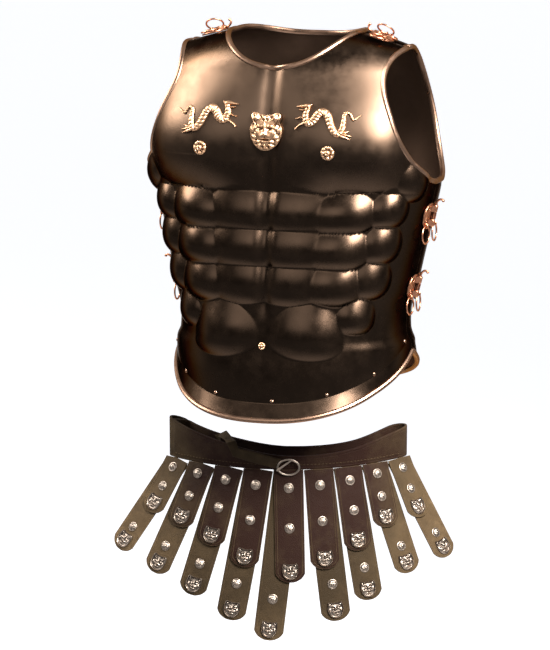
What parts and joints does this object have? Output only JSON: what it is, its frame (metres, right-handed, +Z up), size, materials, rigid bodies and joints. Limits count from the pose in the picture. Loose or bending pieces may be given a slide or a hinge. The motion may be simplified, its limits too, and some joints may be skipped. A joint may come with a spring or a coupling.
{
  "type": "muscled bronze cuirass with belt of pteruges",
  "caption": "Ancient Greek muscled bronze cuirass, hinged and pinned at shoulders and sides, with a separate leather belt of hanging studded straps.",
  "frame": {"origin": "on the upright axis of the torso at the height of the waist, inside the empty cuirass", "axes": "+Z up along the wearer, -Y the front, +X the left side of the wearer"},
  "size_m": [0.4577, 0.2957, 0.8547],
  "materials": {
    "dark_bronze": "dark brown patina, polished",
    "gilt_ornament": "pale pink gold, polished",
    "copper_fitting": "rose gold, polished",
    "dark_leather": "dark brown, waxed, with pewter studs",
    "tan_leather": "olive brown, waxed",
    "buckle_metal": "tinned, satin"
  },
  "bodies": {
    "front": {"breastplate": "dark_bronze", "lion_mask": "gilt_ornament", "sea_dragon_left": "gilt_ornament", "sea_dragon_right": "gilt_ornament", "rosette_left": "gilt_ornament", "rosette_right": "gilt_ornament", "navel_stud": "gilt_ornament", "right_upper_closure_front_leaf": "copper_fitting", "left_upper_closure_front_leaf": "copper_fitting", "right_lower_closure_front_leaf": "copper_fitting", "left_lower_closure_front_leaf": "copper_fitting", "left_shoulder_closure_front_leaf": "copper_fitting", "right_shoulder_closure_front_leaf": "copper_fitting"},
    "back": {"backplate": "dark_bronze", "right_upper_closure_back_leaf": "copper_fitting", "left_upper_closure_back_leaf": "copper_fitting", "right_lower_closure_back_leaf": "copper_fitting", "left_lower_closure_back_leaf": "copper_fitting", "left_shoulder_closure_back_leaf": "copper_fitting", "right_shoulder_closure_back_leaf": "copper_fitting"},
    "right_upper_closure_pin": {"right_upper_closure_pin": "copper_fitting"},
    "left_upper_closure_pin": {"left_upper_closure_pin": "copper_fitting"},
    "right_lower_closure_pin": {"right_lower_closure_pin": "copper_fitting"},
    "left_lower_closure_pin": {"left_lower_closure_pin": "copper_fitting"},
    "left_shoulder_closure_pin": {"left_shoulder_closure_pin": "copper_fitting"},
    "right_shoulder_closure_pin": {"right_shoulder_closure_pin": "copper_fitting"},
    "right_upper_closure_front_ring": {"right_upper_closure_front_ring": "copper_fitting"},
    "right_upper_closure_back_ring": {"right_upper_closure_back_ring": "copper_fitting"},
    "left_upper_closure_front_ring": {"left_upper_closure_front_ring": "copper_fitting"},
    "left_upper_closure_back_ring": {"left_upper_closure_back_ring": "copper_fitting"},
    "right_lower_closure_front_ring": {"right_lower_closure_front_ring": "copper_fitting"},
    "right_lower_closure_back_ring": {"right_lower_closure_back_ring": "copper_fitting"},
    "left_lower_closure_front_ring": {"left_lower_closure_front_ring": "copper_fitting"},
    "left_lower_closure_back_ring": {"left_lower_closure_back_ring": "copper_fitting"},
    "left_shoulder_closure_front_ring": {"left_shoulder_closure_front_ring": "copper_fitting"},
    "left_shoulder_closure_back_ring": {"left_shoulder_closure_back_ring": "copper_fitting"},
    "right_shoulder_closure_front_ring": {"right_shoulder_closure_front_ring": "copper_fitting"},
    "right_shoulder_closure_back_ring": {"right_shoulder_closure_back_ring": "copper_fitting"},
    "belt": {"belt_band": "dark_leather", "fastening_strap": "tan_leather"},
    "long_strap_1": {"long_strap_1": "tan_leather"},
    "short_strap_1": {"short_strap_1": "dark_leather"},
    "long_strap_2": {"long_strap_2": "dark_leather"},
    "short_strap_2": {"short_strap_2": "dark_leather"},
    "long_strap_3": {"long_strap_3": "dark_leather"},
    "short_strap_3": {"short_strap_3": "dark_leather"},
    "long_strap_4": {"long_strap_4": "dark_leather"},
    "short_strap_4": {"short_strap_4": "dark_leather"},
    "long_strap_5": {"long_strap_5": "dark_leather"},
    "short_strap_5": {"short_strap_5": "dark_leather"},
    "long_strap_6": {"long_strap_6": "dark_leather"},
    "short_strap_6": {"short_strap_6": "dark_leather"},
    "long_strap_7": {"long_strap_7": "dark_leather"},
    "short_strap_7": {"short_strap_7": "dark_leather"},
    "long_strap_8": {"long_strap_8": "dark_leather"},
    "short_strap_8": {"short_strap_8": "dark_leather"},
    "long_strap_9": {"long_strap_9": "tan_leather"},
    "short_strap_9": {"short_strap_9": "dark_leather"},
    "buckle_ring": {"buckle_ring": "buckle_metal"},
    "buckle_prong": {"buckle_prong": "buckle_metal"}
  },
  "joints": [
    {"name": "backplate_swing", "type": "hinge", "parent": "front", "child": "back", "pos_m": [-0.19, 0, 0.09], "axis": [-0.1549, 0, 0.9879], "range_deg": [0, 60]},
    {"name": "right_upper_pin_draw", "type": "slide", "parent": "front", "child": "right_upper_closure_pin", "axis": [-0.1549, 0, 0.9879], "range_m": [0, 0.045]},
    {"name": "left_upper_pin_draw", "type": "slide", "parent": "front", "child": "left_upper_closure_pin", "axis": [0.2325, 0, 0.9726], "range_m": [0, 0.045]},
    {"name": "right_lower_pin_draw", "type": "slide", "parent": "front", "child": "right_lower_closure_pin", "axis": [-0.1549, 0, 0.9879], "range_m": [0, 0.045]},
    {"name": "left_lower_pin_draw", "type": "slide", "parent": "front", "child": "left_lower_closure_pin", "axis": [0.2508, 0, 0.968], "range_m": [0, 0.045]},
    {"name": "left_shoulder_pin_draw", "type": "slide", "parent": "front", "child": "left_shoulder_closure_pin", "axis": [-0.9592, 0, 0.2826], "range_m": [0, 0.045]},
    {"name": "right_shoulder_pin_draw", "type": "slide", "parent": "front", "child": "right_shoulder_closure_pin", "axis": [0.9592, 0, 0.2826], "range_m": [0, 0.045]},
    {"name": "right_upper_front_ring_swing", "type": "hinge", "parent": "front", "child": "right_upper_closure_front_ring", "pos_m": [-0.19556, -0.01779, 0.15284], "axis": [-0.0936, 0.9956, 0], "range_deg": [0, 45]},
    {"name": "right_upper_back_ring_swing", "type": "hinge", "parent": "back", "child": "right_upper_closure_back_ring", "pos_m": [-0.19575, 0.01752, 0.1528], "axis": [0.0701, 0.9975, 0], "range_deg": [0, 45]},
    {"name": "left_upper_front_ring_swing", "type": "hinge", "parent": "front", "child": "left_upper_closure_front_ring", "pos_m": [0.19526, -0.01791, 0.15157], "axis": [-0.0916, -0.9958, 0], "range_deg": [0, 45]},
    {"name": "left_upper_back_ring_swing", "type": "hinge", "parent": "back", "child": "left_upper_closure_back_ring", "pos_m": [0.19546, 0.01757, 0.15151], "axis": [0.0688, -0.9976, 0], "range_deg": [0, 45]},
    {"name": "right_lower_front_ring_swing", "type": "hinge", "parent": "front", "child": "right_lower_closure_front_ring", "pos_m": [-0.1737, -0.01757, 0.05384], "axis": [-0.0725, 0.9974, 0], "range_deg": [0, 45]},
    {"name": "right_lower_back_ring_swing", "type": "hinge", "parent": "back", "child": "right_lower_closure_back_ring", "pos_m": [-0.17345, 0.01788, 0.05387], "axis": [0.0944, 0.9955, 0], "range_deg": [0, 45]},
    {"name": "left_lower_front_ring_swing", "type": "hinge", "parent": "front", "child": "left_lower_closure_front_ring", "pos_m": [0.17313, -0.01766, 0.05171], "axis": [-0.0705, -0.9975, 0], "range_deg": [0, 45]},
    {"name": "left_lower_back_ring_swing", "type": "hinge", "parent": "back", "child": "left_lower_closure_back_ring", "pos_m": [0.17289, 0.01793, 0.05175], "axis": [0.0921, -0.9957, 0], "range_deg": [0, 45]},
    {"name": "left_shoulder_front_ring_swing", "type": "hinge", "parent": "front", "child": "left_shoulder_closure_front_ring", "pos_m": [0.1242, -0.00285, 0.40949], "axis": [-0.9611, 0.0002, 0.2763], "range_deg": [0, 110]},
    {"name": "left_shoulder_back_ring_swing", "type": "hinge", "parent": "back", "child": "left_shoulder_closure_back_ring", "pos_m": [0.12427, 0.01844, 0.40973], "axis": [-0.9611, -0.0001, 0.2762], "range_deg": [0, 140]},
    {"name": "right_shoulder_front_ring_swing", "type": "hinge", "parent": "front", "child": "right_shoulder_closure_front_ring", "pos_m": [-0.1242, -0.00285, 0.40949], "axis": [-0.9611, -0.0002, -0.2763], "range_deg": [0, 110]},
    {"name": "right_shoulder_back_ring_swing", "type": "hinge", "parent": "back", "child": "right_shoulder_closure_back_ring", "pos_m": [-0.12427, 0.01844, 0.40973], "axis": [-0.9611, 0.0001, -0.2762], "range_deg": [0, 140]},
    {"name": "belt_lift", "type": "slide", "parent": "front", "child": "belt", "axis": [0, 0, 1], "range_m": [0, 0.05]},
    {"name": "long_strap_1_lift", "type": "hinge", "parent": "belt", "child": "long_strap_1", "pos_m": [-0.1574, -0.06008, -0.19032], "axis": [-0.9404, 0.3353, 0.0569], "range_deg": [0, 45]},
    {"name": "short_strap_1_lift", "type": "hinge", "parent": "long_strap_1", "child": "short_strap_1", "pos_m": [-0.1574, -0.06008, -0.19032], "axis": [-0.9404, 0.3353, 0.0569], "range_deg": [0, 35]},
    {"name": "long_strap_2_lift", "type": "hinge", "parent": "belt", "child": "long_strap_2", "pos_m": [-0.11625, -0.07075, -0.19248], "axis": [-0.9854, 0.1641, 0.0443], "range_deg": [0, 45]},
    {"name": "short_strap_2_lift", "type": "hinge", "parent": "long_strap_2", "child": "short_strap_2", "pos_m": [-0.11625, -0.07075, -0.19248], "axis": [-0.9854, 0.1641, 0.0443], "range_deg": [0, 35]},
    {"name": "long_strap_3_lift", "type": "hinge", "parent": "belt", "child": "long_strap_3", "pos_m": [-0.07384, -0.07399, -0.19408], "axis": [-0.9995, -0.0123, 0.0303], "range_deg": [0, 45]},
    {"name": "short_strap_3_lift", "type": "hinge", "parent": "long_strap_3", "child": "short_strap_3", "pos_m": [-0.07384, -0.07399, -0.19408], "axis": [-0.9995, -0.0123, 0.0303], "range_deg": [0, 35]},
    {"name": "long_strap_4_lift", "type": "hinge", "parent": "belt", "child": "long_strap_4", "pos_m": [-0.03151, -0.06971, -0.19506], "axis": [-0.982, -0.1883, 0.0154], "range_deg": [0, 45]},
    {"name": "short_strap_4_lift", "type": "hinge", "parent": "long_strap_4", "child": "short_strap_4", "pos_m": [-0.03151, -0.06971, -0.19506], "axis": [-0.982, -0.1883, 0.0154], "range_deg": [0, 35]},
    {"name": "long_strap_5_lift", "type": "hinge", "parent": "belt", "child": "long_strap_5", "pos_m": [0.00942, -0.05803, -0.19539], "axis": [-0.9336, -0.3584, 0], "range_deg": [0, 10]},
    {"name": "short_strap_5_lift", "type": "hinge", "parent": "long_strap_5", "child": "short_strap_5", "pos_m": [0.00942, -0.05803, -0.19539], "axis": [-0.9336, -0.3584, 0], "range_deg": [0, 5]},
    {"name": "long_strap_6_lift", "type": "hinge", "parent": "belt", "child": "long_strap_6", "pos_m": [0.04765, -0.03932, -0.19506], "axis": [-0.8558, -0.5171, -0.0154], "range_deg": [0, 45]},
    {"name": "short_strap_6_lift", "type": "hinge", "parent": "long_strap_6", "child": "short_strap_6", "pos_m": [0.04765, -0.03932, -0.19506], "axis": [-0.8558, -0.5171, -0.0154], "range_deg": [0, 35]},
    {"name": "long_strap_7_lift", "type": "hinge", "parent": "belt", "child": "long_strap_7", "pos_m": [0.08198, -0.01418, -0.19408], "axis": [-0.751, -0.6596, -0.0303], "range_deg": [0, 45]},
    {"name": "short_strap_7_lift", "type": "hinge", "parent": "long_strap_7", "child": "short_strap_7", "pos_m": [0.08198, -0.01418, -0.19408], "axis": [-0.751, -0.6596, -0.0303], "range_deg": [0, 35]},
    {"name": "long_strap_8_lift", "type": "hinge", "parent": "belt", "child": "long_strap_8", "pos_m": [0.11133, 0.01661, -0.19248], "axis": [-0.6225, -0.7813, -0.0443], "range_deg": [0, 45]},
    {"name": "short_strap_8_lift", "type": "hinge", "parent": "long_strap_8", "child": "short_strap_8", "pos_m": [0.11133, 0.01661, -0.19248], "axis": [-0.6225, -0.7813, -0.0443], "range_deg": [0, 35]},
    {"name": "long_strap_9_lift", "type": "hinge", "parent": "belt", "child": "long_strap_9", "pos_m": [0.13477, 0.05207, -0.19032], "axis": [-0.4745, -0.8784, -0.0569], "range_deg": [0, 45]},
    {"name": "short_strap_9_lift", "type": "hinge", "parent": "long_strap_9", "child": "short_strap_9", "pos_m": [0.13477, 0.05207, -0.19032], "axis": [-0.4745, -0.8784, -0.0569], "range_deg": [0, 35]},
    {"name": "buckle_ring_swing", "type": "hinge", "parent": "belt", "child": "buckle_ring", "pos_m": [0.01148, -0.06338, -0.17948], "axis": [-0.9336, -0.3584, 0], "range_deg": [0, 90]},
    {"name": "buckle_prong_swing", "type": "hinge", "parent": "buckle_ring", "child": "buckle_prong", "pos_m": [-0.00439, -0.07031, -0.19059], "axis": [-0.0312, 0.0814, -0.9962], "range_deg": [0, 60]}
  ]
}
